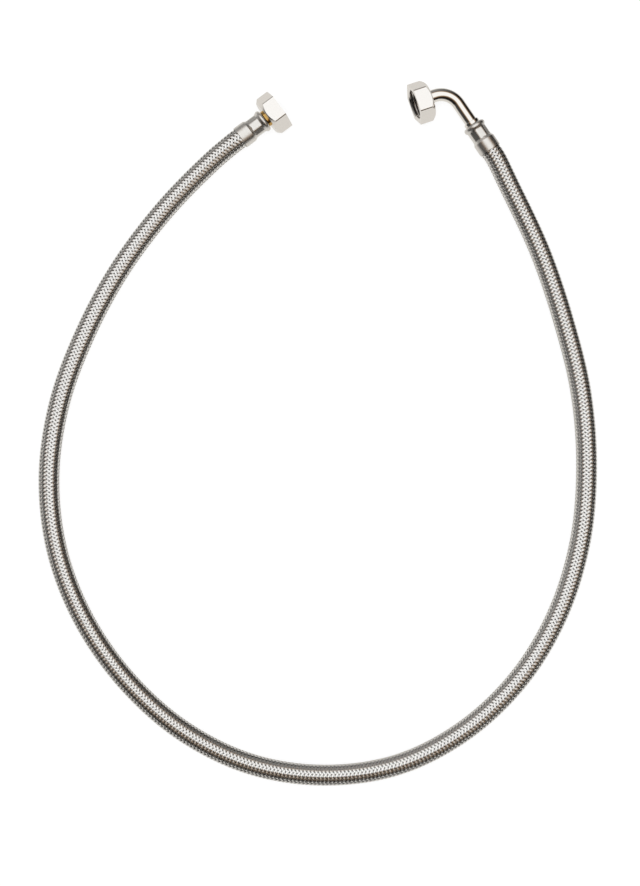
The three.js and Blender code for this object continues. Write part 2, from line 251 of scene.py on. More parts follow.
WAIST_START = SKIRT_LENGTH + SHOULDER_LENGTH
WAIST_END = WAIST_START + WAIST_LENGTH
FERRULE_LENGTH = WAIST_END + FLARE_LENGTH + HEAD_LENGTH
HOSE_END = FERRULE_LENGTH - HEAD_LENGTH
COLLAR_START = FERRULE_LENGTH + SEAT_GAP
BEND_START = FERRULE_LENGTH + PIPE_RUN

STRAIGHT_END = {"place": (-85, -13.5), "heading": 37, "pitch": 0, "roll": 0}
ELBOW_END = {"place": (83, -21), "heading": 124.5, "pitch": 2, "roll": 7.3}


def end_matrix(end, nut):
    """The place of an end in millimetres, with the lower rear edge of its nut on the table."""
    heading, pitch, roll = (math.radians(end[key]) for key in ("heading", "pitch", "roll"))
    level = math.cos(pitch)
    along = Vector((math.cos(heading) * level, math.sin(heading) * level, math.sin(pitch)))
    side = Vector((0, 0, 1)).cross(along).normalized()
    basis = Matrix((side, along.cross(side), along)).transposed()
    turn = (Quaternion(along, roll).to_matrix() @ basis).to_4x4()
    lowest = (turn @ nut @ Vector((0, -ACROSS_FLATS / 2, 0))).z
    return Matrix.Translation((*end["place"], -lowest)) @ turn


straight_nut = Matrix.Translation((0, 0, COLLAR_START + NECK_LENGTH))
bend_centre = Vector((BEND_RADIUS, 0, BEND_START))
elbow_turn = Matrix.Rotation(BEND_ANGLE, 4, "Y")
elbow_nut = (Matrix.Translation(bend_centre) @ elbow_turn
             @ Matrix.Translation((ELBOW_NUT_SHIFT - BEND_RADIUS, 0, PIPE_END_RUN)))
straight_end = end_matrix(STRAIGHT_END, straight_nut)
elbow_end = end_matrix(ELBOW_END, elbow_nut)
print("straight end at", [round(c, 1) for c in straight_end.translation])
print("elbow end at", [round(c, 1) for c in elbow_end.translation])

# %% [markdown]
# ## The route of the hose
# A braided hose of this size keeps a broad even curve and lies flat on the table. It rises a little at
# each end, because the ferrules are held up by their nuts. Its middle line is a smooth curve through
# listed points, the same points as in the plain model.

# %% Middle line
END_LEAD = 6
SPAN_STEPS = 80
ROUTE = [
    (-104.5, -29.5, 4.3), (-136, -61.5, 1.5), (-166, -101.5, 0.2), (-189.5, -145.5, 0),
    (-206.5, -192.5, 0), (-213, -242, 0), (-207, -291.5, 0), (-188.5, -337.5, 0),
    (-159, -378.5, 0), (-121.5, -411, 0), (-76.5, -432.5, 0), (-27, -439.5, 0),
    (22, -432, 0), (66, -409, 0), (102, -374.5, 0), (127.5, -332, 0),
    (142.5, -284, 0), (147, -234.5, 0), (143.5, -184.5, 0), (132, -136, 0),
    (116, -88.5, 0.1), (95, -43.5, 0.8),
]


def on_axis(end, height):
    """A point on the axis of an end."""
    return np.array(end @ Vector((0, 0, height)))


def smooth_curve(points):
    """Points along the centripetal Catmull-Rom curve through the given ones."""
    points = np.vstack([2 * points[0] - points[1], points, 2 * points[-1] - points[-2]])
    share = np.linspace(0, 1, SPAN_STEPS, endpoint=False)[:, None]
    spans = []
    for before, start, end, after in zip(points, points[1:], points[2:], points[3:]):
        gaps = [math.sqrt(np.linalg.norm(b - a)) for a, b in ((before, start), (start, end), (end, after))]
        leave = (start - before) / gaps[0] - (end - before) / (gaps[0] + gaps[1]) + (end - start) / gaps[1]
        arrive = (end - start) / gaps[1] - (after - start) / (gaps[1] + gaps[2]) + (after - end) / gaps[2]
        leave, arrive = leave * gaps[1], arrive * gaps[1]
        square = 3 * (end - start) - 2 * leave - arrive
        cube = 2 * (start - end) + leave + arrive
        spans.append(start + leave * share + square * share**2 + cube * share**3)
    return np.vstack([*spans, points[-2]])


loop = smooth_curve(np.array([
    on_axis(straight_end, 0),
    on_axis(straight_end, -END_LEAD),
    *[(x, y, HOSE_DIAMETER / 2 + lift) for x, y, lift in ROUTE],
    on_axis(elbow_end, -END_LEAD),
    on_axis(elbow_end, 0),
]))
middle = np.vstack([on_axis(straight_end, HOSE_END), loop, on_axis(elbow_end, HOSE_END)])
travelled = np.concatenate([[0], np.cumsum(np.linalg.norm(np.diff(middle, axis=0), axis=1))])
HOSE_LENGTH = travelled[-1]
print(f"the hose is {HOSE_LENGTH:.0f} mm long, of which {2 * HOSE_END:.0f} mm lie in the ferrules")

# %% [markdown]
# ## Rings along the hose
# Both the tube and the wires follow the middle line, so a few lines of array arithmetic serve better here
# than modelling by hand. At each place along the hose there is a point, a direction that is up and one
# that is to the side. In a ferrule the crimp squeezes everything onto the spigot.

# %% Places along the hose
TAPER_LEAD = 1
TAPER_LENGTH = 1.8
TAPER_START = SKIRT_LENGTH - TAPER_LEAD


def along_hose(places):
    """The points, the up directions and the side directions at these distances along the hose."""
    points = np.stack([np.interp(places, travelled, middle[:, axis]) for axis in range(3)], axis=1)
    ahead = np.gradient(points, axis=0)
    ahead /= np.linalg.norm(ahead, axis=1)[:, None]
    side = np.cross((0, 0, 1), ahead)
    side /= np.linalg.norm(side, axis=1)[:, None]
    return points, np.cross(ahead, side), side


def squeezed(places, free, crimped):
    """A size that is free along the hose and crimped inside the ferrules."""
    depth = np.maximum(HOSE_END - places, places - (HOSE_LENGTH - HOSE_END))
    share = np.clip((depth - TAPER_START) / TAPER_LENGTH, 0, 1)
    return free + (crimped - free) * share


print("the middle of the hose is at", along_hose(np.linspace(0, HOSE_LENGTH, 3))[0][1].round(1))

# %% [markdown]
# ## Skin over rings
# A long piece is a row of rings with a skin of four-sided faces between them. An open tube gets a face at
# each end, and a closed one runs on from its last ring to its first, as a tube does that goes out along
# its outside and comes back along its bore.

# %% Loft helper
def loft(name, tubes, closed=False):
    """One mesh of tubes, each a list of rings of points in millimetres. A closed tube meets its own start."""
    points, faces = [], []
    for rings in tubes:
        count, sides = rings.shape[:2]
        first = sum(len(block) for block in points)
        points.append(rings.reshape(-1, 3))
        ring = np.arange(count if closed else count - 1)[:, None]
        corner = np.arange(sides)[None, :]
        here, there = ring * sides, ((ring + 1) % count) * sides
        beside = (corner + 1) % sides
        quads = np.stack([here + corner, here + beside, there + beside, there + corner], axis=2)
        faces += (quads.reshape(-1, 4) + first).tolist()
        if not closed:
            faces.append((first + corner[0, ::-1]).tolist())
            faces.append((first + (count - 1) * sides + corner[0]).tolist())
    mesh = bpy.data.meshes.new(name)
    mesh.from_pydata(np.vstack(points) * MM, [], faces)
    mesh.update()
    mesh.shade_smooth()
    piece = bpy.data.objects.new(name, mesh)
    bpy.context.scene.collection.objects.link(piece)
    return piece


print("the loft is ready")

# %% [markdown]
# ## The rubber tube
# It shows only through the gaps in the braid, as the dark between the wires. Its outside lies just
# under the wires, and its inside is the waterway. It could be a curve with a round bevel, but rings
# along the middle line also let each crimp squeeze it.

# %% Rubber tube
TUBE_RADIUS = 6.2
TUBE_BORE = 4
CRIMPED_TUBE_RADIUS = 4.9
TUBE_SIDES = 28
TUBE_RINGS = 480
BORE_RINGS = 160

angles = np.linspace(0, 2 * math.pi, TUBE_SIDES, endpoint=False)


def tube_rings(count, free, crimped):
    """Round rings along the whole hose."""
    places = np.linspace(0, HOSE_LENGTH, count)
    points, up, side = along_hose(places)
    radius = squeezed(places, free, crimped)[:, None, None]
    round_it = np.cos(angles)[None, :, None] * up[:, None] + np.sin(angles)[None, :, None] * side[:, None]
    return points[:, None] + radius * round_it


outside = tube_rings(TUBE_RINGS, TUBE_RADIUS, CRIMPED_TUBE_RADIUS)
inside = tube_rings(BORE_RINGS, TUBE_BORE, TUBE_BORE)[::-1]
rubber_tube = loft("rubber_tube", [np.concatenate([outside, inside])], closed=True)
print("rubber tube:", len(rubber_tube.data.polygons), "faces")

# %% [markdown]
# ## The braid
# Twenty-four flat bundles of wire run round the tube, twelve each way, and each goes over two and under
# two of the others. Where a bundle lies on top depends only on the angle round the hose, so the floats
# line up in twelve straight columns that lean left and right by turns. The braid could be a picture
# wrapped round a tube, but woven strips have real gaps, with the dark tube in them, and a jagged outline.
# Each bundle is a thin flat strip with a crowned back.

# %% Bundles of wire
BRAID_RADIUS = 6.64
CRIMPED_BRAID_RADIUS = 5.45
BUNDLES_EACH_WAY = 12
BRAID_LEAD = 30.7
WEAVE_LIFT = 0.25
CRIMPED_WEAVE_LIFT = 0.1
BUNDLE_WIDTH = 1.5
BUNDLE_THICKNESS = 0.24
STEPS_PER_CROSSING = 2
# Where the first bundle starts, as a share of the gap to the next one
FIRST_BUNDLE = 0.25
# The section of a bundle, as shares of its width and thickness
BUNDLE_SECTION = [(-0.5, -0.1), (-0.38, 0.5), (0.38, 0.5), (0.5, -0.1), (0.3, -0.5), (-0.3, -0.5)]

crossing = BRAID_LEAD / (2 * BUNDLES_EACH_WAY)
steps = round(HOSE_LENGTH / crossing * STEPS_PER_CROSSING)
places = np.linspace(0, HOSE_LENGTH, steps + 1)
points, up, side = along_hose(places)
radius = squeezed(places, BRAID_RADIUS, CRIMPED_BRAID_RADIUS)
lift = squeezed(places, WEAVE_LIFT, CRIMPED_WEAVE_LIFT)


def bundle(number, way):
    """The rings of one bundle. Way is 1 or -1, for the two ways round the hose."""
    angle = 2 * math.pi * (way * places / BRAID_LEAD + (number + FIRST_BUNDLE) / BUNDLES_EACH_WAY)
    outward = np.cos(angle)[:, None] * up + np.sin(angle)[:, None] * side
    reach = radius + way * lift * np.cos(BUNDLES_EACH_WAY / 2 * angle)
    path = points + reach[:, None] * outward
    ahead = np.gradient(path, axis=0)
    ahead /= np.linalg.norm(ahead, axis=1)[:, None]
    across = np.cross(ahead, outward)
    across /= np.linalg.norm(across, axis=1)[:, None]
    out = np.cross(across, ahead)
    section = np.array(BUNDLE_SECTION) * (BUNDLE_WIDTH, BUNDLE_THICKNESS)
    return path[:, None] + section[None, :, :1] * across[:, None] + section[None, :, 1:] * out[:, None]


print(f"{2 * BUNDLES_EACH_WAY} bundles that cross every {crossing:.2f} mm")

# %% [markdown]
# ## Weaving the sleeve
# The bundles of each way round become two pieces of six, because one mesh of them all would be too heavy
# to handle. The single wires in a bundle are too fine to model and are left to the material, which finds
# its way along each strip by the distances that are kept on its points.

# %% Braid
STRIP_CREASE = math.radians(25)


def pick(piece):
    """Selects one piece alone and makes it the active one."""
    bpy.ops.object.select_all(action="DESELECT")
    piece.select_set(True)
    bpy.context.view_layer.objects.active = piece


def braid_part(name, numbers, way):
    """Some of the bundles as one piece, with the distance along and across each strip on its points."""
    piece = loft(name, [bundle(number, way) for number in numbers])
    pick(piece)
    bpy.ops.object.shade_smooth_by_angle(angle=STRIP_CREASE)
    strip = np.zeros((len(numbers), len(places), len(BUNDLE_SECTION), 3), dtype=np.float32)
    strip[..., 0] = places[None, :, None]
    strip[..., 1] = [share * BUNDLE_WIDTH for share, _ in BUNDLE_SECTION]
    distances = piece.data.attributes.new("strip", "FLOAT_VECTOR", "POINT")
    distances.data.foreach_set("vector", strip.ravel())
    return piece


half = BUNDLES_EACH_WAY // 2
braid = [
    braid_part(f"braid_{side_name}_{part_name}", range(start, start + half), way)
    for side_name, way in (("right", 1), ("left", -1))
    for part_name, start in (("a", 0), ("b", half))
]
for piece in braid:
    print(piece.name, sum(len(face.vertices) - 2 for face in piece.data.polygons), "triangles")

# %% [markdown]
# ## Turning on the lathe
# Ferrules, washers and tails are turned or pressed round, so they are all made alike. A circle is
# added, and each step of the profile extrudes its loop of edges, moves it along the axis and scales it.
# A ring comes back to the loop that it started from, and a solid starts as a disc, whose face is
# carried along and closes it. A Screw modifier could turn a drawn profile too, but the same steps
# also draw the bent pipe, whose axis isn't straight.

# %% Loops of edges
UP = Vector((0, 0, 1))


def start_edit(piece):
    """Edit mode on one piece alone, with all of it selected."""
    pick(piece)
    bpy.ops.object.mode_set(mode="EDIT")
    bpy.ops.mesh.select_all(action="SELECT")


def draw_out(centre, direction, distance, scale=1):
    """Extrudes the selected loop by a distance in millimetres, scales it and gives its new centre."""
    step = direction * distance * MM
    bpy.ops.mesh.extrude_region_move(TRANSFORM_OT_translate={"value": step})
    centre = centre + step
    if scale != 1:
        bpy.ops.transform.resize(value=(scale, scale, scale), center_override=centre)
    return centre


def turn_profile(profile, centre, direction=UP):
    """Draws the selected loop through the rest of a profile of (radius, height)."""
    for (radius, height), (next_radius, next_height) in zip(profile, profile[1:]):
        centre = draw_out(centre, direction, next_height - height, next_radius / radius)
    return centre


def new_circle(name, radius, height, sides, fill="NOTHING"):
    """A circle about +Z, in edit mode and selected."""
    bpy.ops.object.select_all(action="DESELECT")
    bpy.ops.mesh.primitive_circle_add(vertices=sides, radius=radius * MM, fill_type=fill,
                                      location=(0, 0, height * MM))
    piece = bpy.context.object
    piece.name = piece.data.name = name
    bpy.ops.object.transform_apply()
    start_edit(piece)
    return piece


print("loops are drawn along", tuple(UP))

# %% [markdown]
# ## Closing a turned shape
# A loop that was drawn back to its start lies on top of it, so the two are merged. The faces are turned
# outwards after that, because only a closed shell has an outside.

# %% Turned shapes
MERGE_DISTANCE = 0.001 * MM
TURNED_SIDES = 96


def close_shell():
    """Merges the loops that meet, turns the faces outwards and leaves edit mode."""
    bpy.ops.mesh.select_all(action="SELECT")
    bpy.ops.mesh.remove_doubles(threshold=MERGE_DISTANCE)
    bpy.ops.mesh.normals_make_consistent(inside=False)
    bpy.ops.object.mode_set(mode="OBJECT")


def turned(name, profile, solid=False):
    """A ring from a closed profile, or a solid from an open one."""
    radius, height = profile[0]
    piece = new_circle(name, radius, height, TURNED_SIDES, "NGON" if solid else "NOTHING")
    turn_profile(profile if solid else [*profile, profile[0]], Vector((0, 0, height * MM)))
    close_shell()
    return piece


print("the lathe is ready")

# %% [markdown]
# ## Edges and places
# No machined edge is quite sharp, and a thin bevel catches the light as the real one does. It could be
# modelled into each profile, but a modifier finds the sharp edges by their angle. Each shape is made
# about its own axis, and its mesh is moved to its place at the end, so that the object stays at the origin.

# %% Finishing helpers
SMOOTH_ANGLE = math.radians(40)
SHARP_ANGLE = math.radians(30)


def apply_modifier(piece, name, kind, **settings):
    """Adds one modifier and applies it."""
    bpy.context.view_layer.objects.active = piece
    modifier = piece.modifiers.new(name, kind)
    for key, value in settings.items():
        setattr(modifier, key, value)
    bpy.ops.object.modifier_apply(modifier=modifier.name)


def smooth_faces(piece):
    """Smooth shading between gentle edges, in which the large faces keep their flatness."""
    pick(piece)
    bpy.ops.object.shade_smooth_by_angle(angle=SMOOTH_ANGLE)
    apply_modifier(piece, "flat faces", "WEIGHTED_NORMAL", keep_sharp=True)


def finish_edges(piece, width, segments=2):
    """Breaks the sharp edges by a width in millimetres and smooths the rest."""
    apply_modifier(piece, "edge break", "BEVEL", width=width * MM, segments=segments,
                   limit_method="ANGLE", angle_limit=SHARP_ANGLE)
    smooth_faces(piece)


def put_in_place(piece, place):
    """Moves a mesh from millimetres about its own axis to its place on the table."""
    shift = Matrix.Translation(place.translation * MM) @ place.to_3x3().to_4x4()
    piece.data.transform(shift)


def copy_of(piece, name):
    """A copy with a mesh of its own."""
    twin = piece.copy()
    twin.data = piece.data.copy()
    twin.name = twin.data.name = name
    bpy.context.scene.collection.objects.link(twin)
    return twin


print(f"edges over {math.degrees(SHARP_ANGLE):.0f} degrees are broken")

# %% [markdown]
# ## The ferrules
# A ferrule is a thin cup pressed from stainless steel. Its skirt slips over the braid, its waist is
# crimped by jaws that leave flats, and its head is a rounded bead. The flats could be cut by Booleans, but
# they are pressed, as on the real one: each point of the waist is brought down to the flat that it
# lies under, and the wall stays whole. The ferrule is modelled once and copied.

# %% Ferrules
SKIRT_BORE = 7.25
SKIRT_RADIUS = 7.65
WAIST_RADIUS = 6.6
WAIST_BORE = 5.95
LIP_BORE = 4
LIP_THICKNESS = 0.6
CRIMP_FLATS = 8
FLAT_RADIUS = 6.3
PRESS_MARGIN = 0.1
HEAD_RADIUS = 7.7
BEAD_ROUND = 1.9
BEAD_SETBACK = 1.75
BEAD_MIDDLE = FERRULE_LENGTH - BEAD_SETBACK
BEAD_REAR, BEAD_FRONT = math.radians(-50), math.radians(67)
BEAD_POINTS = 9
BORE_LEAD = 0.3
PRESSED_EDGE = 0.12
# The bends of the shoulder, in steps of radius and height from the skirt's edge and the waist's two ends
SKIRT_STEPS = [(0, -0.5), (-0.15, -0.1), (-0.55, 0.35)]
WAIST_REAR_STEPS = [(0.15, -0.15), (0, 0), (0, 0.5)]
WAIST_FRONT_STEPS = [(0, -0.7), (0, -0.1)]


def bead_point(angle):
    """A point on the rounded head, by its angle from the widest place."""
    return (HEAD_RADIUS - BEAD_ROUND * (1 - math.cos(angle)), BEAD_MIDDLE + BEAD_ROUND * math.sin(angle))


def stepped(radius, height, steps):
    """The points that lie at these steps from a radius and a height."""
    return [(radius + out, height + on) for out, on in steps]


def press_flats(piece):
    """Presses the flats of the crimp into the waist."""
    flat = 2 * math.pi / CRIMP_FLATS
    for vertex in piece.data.vertices:
        x, y, z = vertex.co / MM
        reach = math.hypot(x, y)
        in_waist = WAIST_START + PRESS_MARGIN < z < WAIST_END - PRESS_MARGIN
        if in_waist and reach > WAIST_BORE + PRESS_MARGIN:
            off = (math.atan2(y, x) + flat / 2) % flat - flat / 2
            share = min(1, FLAT_RADIUS / math.cos(off) / reach)
            vertex.co.x *= share
            vertex.co.y *= share


ferrule_profile = [
    (SKIRT_RADIUS, 0),
    *stepped(SKIRT_RADIUS, SKIRT_LENGTH, SKIRT_STEPS),
    *stepped(WAIST_RADIUS, WAIST_START, WAIST_REAR_STEPS),
    *stepped(WAIST_RADIUS, WAIST_END, WAIST_FRONT_STEPS),
    *[bead_point(angle) for angle in np.linspace(BEAD_REAR, BEAD_FRONT, BEAD_POINTS)],
    (LIP_BORE, FERRULE_LENGTH),
    (LIP_BORE, FERRULE_LENGTH - LIP_THICKNESS),
    (WAIST_BORE, FERRULE_LENGTH - LIP_THICKNESS),
    (WAIST_BORE, WAIST_START),
    (SKIRT_BORE, SKIRT_LENGTH - BORE_LEAD),
    (SKIRT_BORE, 0),
]
straight_ferrule = turned("straight_ferrule_dressed", ferrule_profile)
press_flats(straight_ferrule)
finish_edges(straight_ferrule, PRESSED_EDGE)
elbow_ferrule = copy_of(straight_ferrule, "elbow_ferrule_dressed")
put_in_place(straight_ferrule, straight_end)
put_in_place(elbow_ferrule, elbow_end)
print("ferrule:", len(straight_ferrule.data.polygons), "faces")

# %% [markdown]
# ## The straight tail
# One bar of brass, turned: a barbed spigot that the hose is crimped on, a thick neck that shows between
# the ferrule and the nut, and a flange that the nut pulls on. It could be three shapes joined, but one
# profile keeps it one solid, as the real one is.

# %% Straight tail
WATERWAY = 3
SPIGOT_RADIUS = 3.7
SPIGOT_START = 1
BARB_PITCH = 3
BARB_DEPTH = 0.3
BARB_LEAD_IN = 0.4
NECK_RADIUS = 5.7
FLANGE_RADIUS = 8.1
FLANGE_THICKNESS = 1.6
NUT_END_WALL = 2.2
FLANGE_START = NUT_END_WALL + SEAT_GAP
TURNED_EDGE = 0.2

barbs = [(SPIGOT_RADIUS - BARB_DEPTH, SPIGOT_START)]
while barbs[-1][1] + BARB_PITCH < WAIST_END:
    tip = barbs[-1][1] + BARB_PITCH
    barbs += [(SPIGOT_RADIUS, tip - BARB_LEAD_IN), (SPIGOT_RADIUS - BARB_DEPTH, tip)]
spigot = [*barbs, (SPIGOT_RADIUS, WAIST_END), (SPIGOT_RADIUS, COLLAR_START)]

flange = COLLAR_START + NECK_LENGTH + FLANGE_START
straight_tail = turned("straight_tail_dressed", [
    *spigot,
    (NECK_RADIUS, COLLAR_START),
    (NECK_RADIUS, flange),
    (FLANGE_RADIUS, flange),
    (FLANGE_RADIUS, flange + FLANGE_THICKNESS),
    (WATERWAY, flange + FLANGE_THICKNESS),
    (WATERWAY, SPIGOT_START),
])
finish_edges(straight_tail, TURNED_EDGE)
put_in_place(straight_tail, straight_end)
print("straight tail:", len(straight_tail.data.polygons), "faces")

# %% [markdown]
# ## The bent pipe
# The same spigot, then a bead that rests on the ferrule, and a polished pipe bent by seventy-five
# degrees. The loop is drawn straight, spun about the bend's centre, drawn on to the flange, and
# then taken back the same way inside as the waterway, until it meets its own start. A curve with a bevel
# could make the bend, but not the spigot, the bead and the flange with it in one piece.

# %% Bent pipe
PIPE_RADIUS = 4.3
COLLAR_RADIUS = 5.3
COLLAR_LENGTH = 2.4
COLLAR_EASE = 0.2
COLLAR_EASE_LENGTH = 0.25
BEND_STEPS = 32
PIPE_SIDES = 64
PIPE_EDGE = 0.15


def spin_loop(angle):
    """Spins the selected loop about the bend's centre."""
    bpy.ops.mesh.spin(steps=BEND_STEPS, angle=angle, center=bend_centre * MM, axis=(0, 1, 0))


to_bend = [
    *spigot,
    (COLLAR_RADIUS - COLLAR_EASE, COLLAR_START),
    (COLLAR_RADIUS, COLLAR_START + COLLAR_EASE_LENGTH),
    (COLLAR_RADIUS, COLLAR_START + COLLAR_LENGTH - COLLAR_EASE_LENGTH),
    (COLLAR_RADIUS - COLLAR_EASE, COLLAR_START + COLLAR_LENGTH),
    (PIPE_RADIUS, COLLAR_START + COLLAR_LENGTH),
    (PIPE_RADIUS, BEND_START),
]
to_flange = [
    (PIPE_RADIUS, -PIPE_END_RUN),
    (PIPE_RADIUS, FLANGE_START),
    (FLANGE_RADIUS, FLANGE_START),
    (FLANGE_RADIUS, FLANGE_START + FLANGE_THICKNESS),
    (WATERWAY, FLANGE_START + FLANGE_THICKNESS),
    (WATERWAY, -PIPE_END_RUN),
]
nut_axis = elbow_turn.to_3x3() @ UP
bend_end = (elbow_turn.to_3x3() @ Vector((-BEND_RADIUS, 0, 0)) + bend_centre) * MM
bent_pipe = new_circle("elbow_pipe_dressed", *spigot[0], PIPE_SIDES)
turn_profile(to_bend, Vector((0, 0, spigot[0][1] * MM)))
spin_loop(-BEND_ANGLE)
turn_profile(to_flange, bend_end, nut_axis)
spin_loop(BEND_ANGLE)
turn_profile([(WATERWAY, BEND_START), (WATERWAY, SPIGOT_START), spigot[0]], Vector((0, 0, BEND_START * MM)))
close_shell()
finish_edges(bent_pipe, PIPE_EDGE)
reach = max(vertex.co.x for vertex in bent_pipe.data.vertices) / MM
put_in_place(bent_pipe, elbow_end)
print(f"bent pipe: {len(bent_pipe.data.polygons)} faces, reaching {reach:.1f} mm to the side")

# %% [markdown]
# ## The thread
# A half-inch pipe thread has 14 turns to the inch. It could be drawn as rings, but a real one climbs, and
# a Screw modifier winds one ridge of triangular section just as easily. The ridge is sunk a little
# into the wall of the bore, and it begins above the tail's flange, so that the nut turns freely round it.

# %% Thread
NUT_LENGTH = 11
THREAD_RADIUS = 9.9
THREAD_CREST = 9.35
THREAD_CHAMFER = 0.7
THREAD_PITCH = 1.814
TURN_STEPS = 64
RIDGE_SETBACK = 0.8
RIDGE_HALF_WIDTH = 0.7
RIDGE_SINK = 0.15


def thread_ridge():
    """The ridge of the thread, wound up from above the tail's flange."""
    start = FLANGE_START + FLANGE_THICKNESS + RIDGE_SETBACK
    turns = int((NUT_LENGTH - THREAD_CHAMFER - start) / THREAD_PITCH)
    ridge = new_circle("thread", 1, 0, 3)
    bpy.ops.object.mode_set(mode="OBJECT")
    root = THREAD_RADIUS + RIDGE_SINK
    corners = [(THREAD_CREST, 0), (root, -RIDGE_HALF_WIDTH), (root, RIDGE_HALF_WIDTH)]
    for vertex, (radius, height) in zip(ridge.data.vertices, corners):
        vertex.co = Vector((radius, 0, start + height)) * MM
    apply_modifier(ridge, "screw", "SCREW", angle=2 * math.pi, steps=TURN_STEPS,
                   render_steps=TURN_STEPS, iterations=turns, screw_offset=THREAD_PITCH * MM)
    start_edit(ridge)
    bpy.ops.mesh.fill_holes(sides=3)
    close_shell()
    return ridge


print("thread of", THREAD_PITCH, "mm pitch")

# %% [markdown]
# ## Finding edges and cutting
# The nuts aren't round all over, so they need two more helpers. One finds edges by where they run, as one
# would pick them by hand. The other cuts with a Boolean modifier: there is an operator for it in edit
# mode too, but with a modifier the tool is an object of its own, which is simpler to shape and place.

# %% Cutting helpers
# How far a tool reaches past what it cuts, so that no thin skin is left
CUT_MARGIN = 1


def select_edges(piece, wanted):
    """Edit mode with only the edges selected whose two ends pass a test."""
    start_edit(piece)
    bpy.ops.mesh.select_all(action="DESELECT")
    bpy.ops.mesh.select_mode(type="EDGE")
    bpy.ops.object.mode_set(mode="OBJECT")
    points = piece.data.vertices
    for edge in piece.data.edges:
        edge.select = wanted(*(points[i].co for i in edge.vertices))
    bpy.ops.object.mode_set(mode="EDIT")


def cut_with(piece, tool, operation):
    """One Boolean cut, after which the tool is thrown away."""
    bpy.ops.object.select_all(action="DESELECT")
    apply_modifier(piece, operation.lower(), "BOOLEAN", operation=operation, solver="EXACT", object=tool)
    bpy.data.objects.remove(tool)


print("tools reach", CUT_MARGIN, "mm past what they cut")

# %% [markdown]
# ## The union nuts
# A nut is cut from hexagon bar: turned to a cone at the rear, bored, and threaded at the mouth. So a
# hexagon is cut to the turned form with one Boolean and bored with another. Its long edges are broken
# before the cuts, while they are still easy to find, and the rims are broken in the turned profiles.

# %% Union nuts
CORNER_RADIUS = ACROSS_FLATS / math.sqrt(3)
# Turns the hexagon so that one of its flats faces down
FLAT_TURN = math.radians(30)
CHAMFER_ANGLE = math.radians(45)
# Where the cone meets the rear face, as a share of the way from the middle to a flat
CHAMFER_SHARE = 0.95
CHAMFER_START = CHAMFER_SHARE * ACROSS_FLATS / 2
EDGE_BREAK = 0.8
EDGE_SEGMENTS = 4
RIM_BREAK = 0.25


def union_nut(name, hole):
    """A nut about +Z with its rear face at zero and a hole for the tail."""
    bpy.ops.object.select_all(action="DESELECT")
    bpy.ops.mesh.primitive_cylinder_add(
        vertices=6, radius=CORNER_RADIUS * MM, depth=NUT_LENGTH * MM,
        location=(0, 0, NUT_LENGTH / 2 * MM), rotation=(0, 0, FLAT_TURN),
    )
    nut = bpy.context.object
    nut.name = nut.data.name = name
    bpy.ops.object.transform_apply()
    select_edges(nut, lambda low, high: abs(high.z - low.z) > CUT_MARGIN * MM)
    bpy.ops.mesh.bevel(offset=EDGE_BREAK * MM, segments=EDGE_SEGMENTS)
    bpy.ops.object.mode_set(mode="OBJECT")
    wide, beyond = CORNER_RADIUS + CUT_MARGIN, NUT_LENGTH + CUT_MARGIN
    rise = (wide - CHAMFER_START) * math.tan(CHAMFER_ANGLE)
    envelope = turned("envelope", [
        (CHAMFER_START - RIM_BREAK, 0),
        (CHAMFER_START, RIM_BREAK / 2),
        (wide, rise),
        (wide, beyond),
    ], solid=True)
    cut_with(nut, envelope, "INTERSECT")
    bore = [
        (hole + RIM_BREAK + CUT_MARGIN, -CUT_MARGIN),
        (hole, RIM_BREAK),
        (hole, NUT_END_WALL),
        (THREAD_RADIUS, NUT_END_WALL),
        (THREAD_RADIUS, NUT_LENGTH - THREAD_CHAMFER),
        (THREAD_RADIUS + THREAD_CHAMFER, NUT_LENGTH),
        (THREAD_RADIUS + THREAD_CHAMFER + CUT_MARGIN, beyond),
    ]
    cut_with(nut, turned("bore", bore, solid=True), "DIFFERENCE")
    smooth_faces(nut)
    ridge = thread_ridge()
    pick(nut)
    ridge.select_set(True)
    bpy.ops.object.join()
    return nut


straight_nut_piece = union_nut("straight_nut_dressed", NECK_RADIUS + SEAT_GAP)
elbow_nut_piece = union_nut("elbow_nut_dressed", PIPE_RADIUS + ELBOW_NUT_SHIFT + SEAT_GAP)
put_in_place(straight_nut_piece, straight_end @ straight_nut)
put_in_place(elbow_nut_piece, elbow_end @ elbow_nut)
print("nut:", len(elbow_nut_piece.data.polygons), "faces")

# %% [markdown]
# ## The sealing washers
# A flat ring punched from rubber sheet lies against the flange in each nut. Punching leaves its edges
# slightly round. Four points of a profile are enough for it, and it too is made once and copied.

# %% Washers
WASHER_BORE = 5.2
WASHER_RADIUS = 9.3
WASHER_THICKNESS = 2
WASHER_START = FLANGE_START + FLANGE_THICKNESS + SEAT_GAP
PUNCHED_EDGE = 0.25

washer_top = WASHER_START + WASHER_THICKNESS
straight_washer = turned("straight_washer_dressed", [
    (WASHER_RADIUS, WASHER_START), (WASHER_RADIUS, washer_top), (WASHER_BORE, washer_top),
    (WASHER_BORE, WASHER_START),
])
finish_edges(straight_washer, PUNCHED_EDGE, segments=3)
elbow_washer = copy_of(straight_washer, "elbow_washer_dressed")
put_in_place(straight_washer, straight_end @ straight_nut)
put_in_place(elbow_washer, elbow_end @ elbow_nut)
print("washer:", len(elbow_washer.data.polygons), "faces")

# %% [markdown]
# ## Metal
# Bare metal has no colour of its own but the tint of its reflections, and its roughness says how it was
# made. Each metal could have nodes of its own, but all four here can share one recipe: a tint, a
# roughness, and a grain that varies the gloss and dents the surface a little.

# %% Metals
# How far the grain takes the roughness down and up
METAL_GLOSS = (0.8, 1.25)


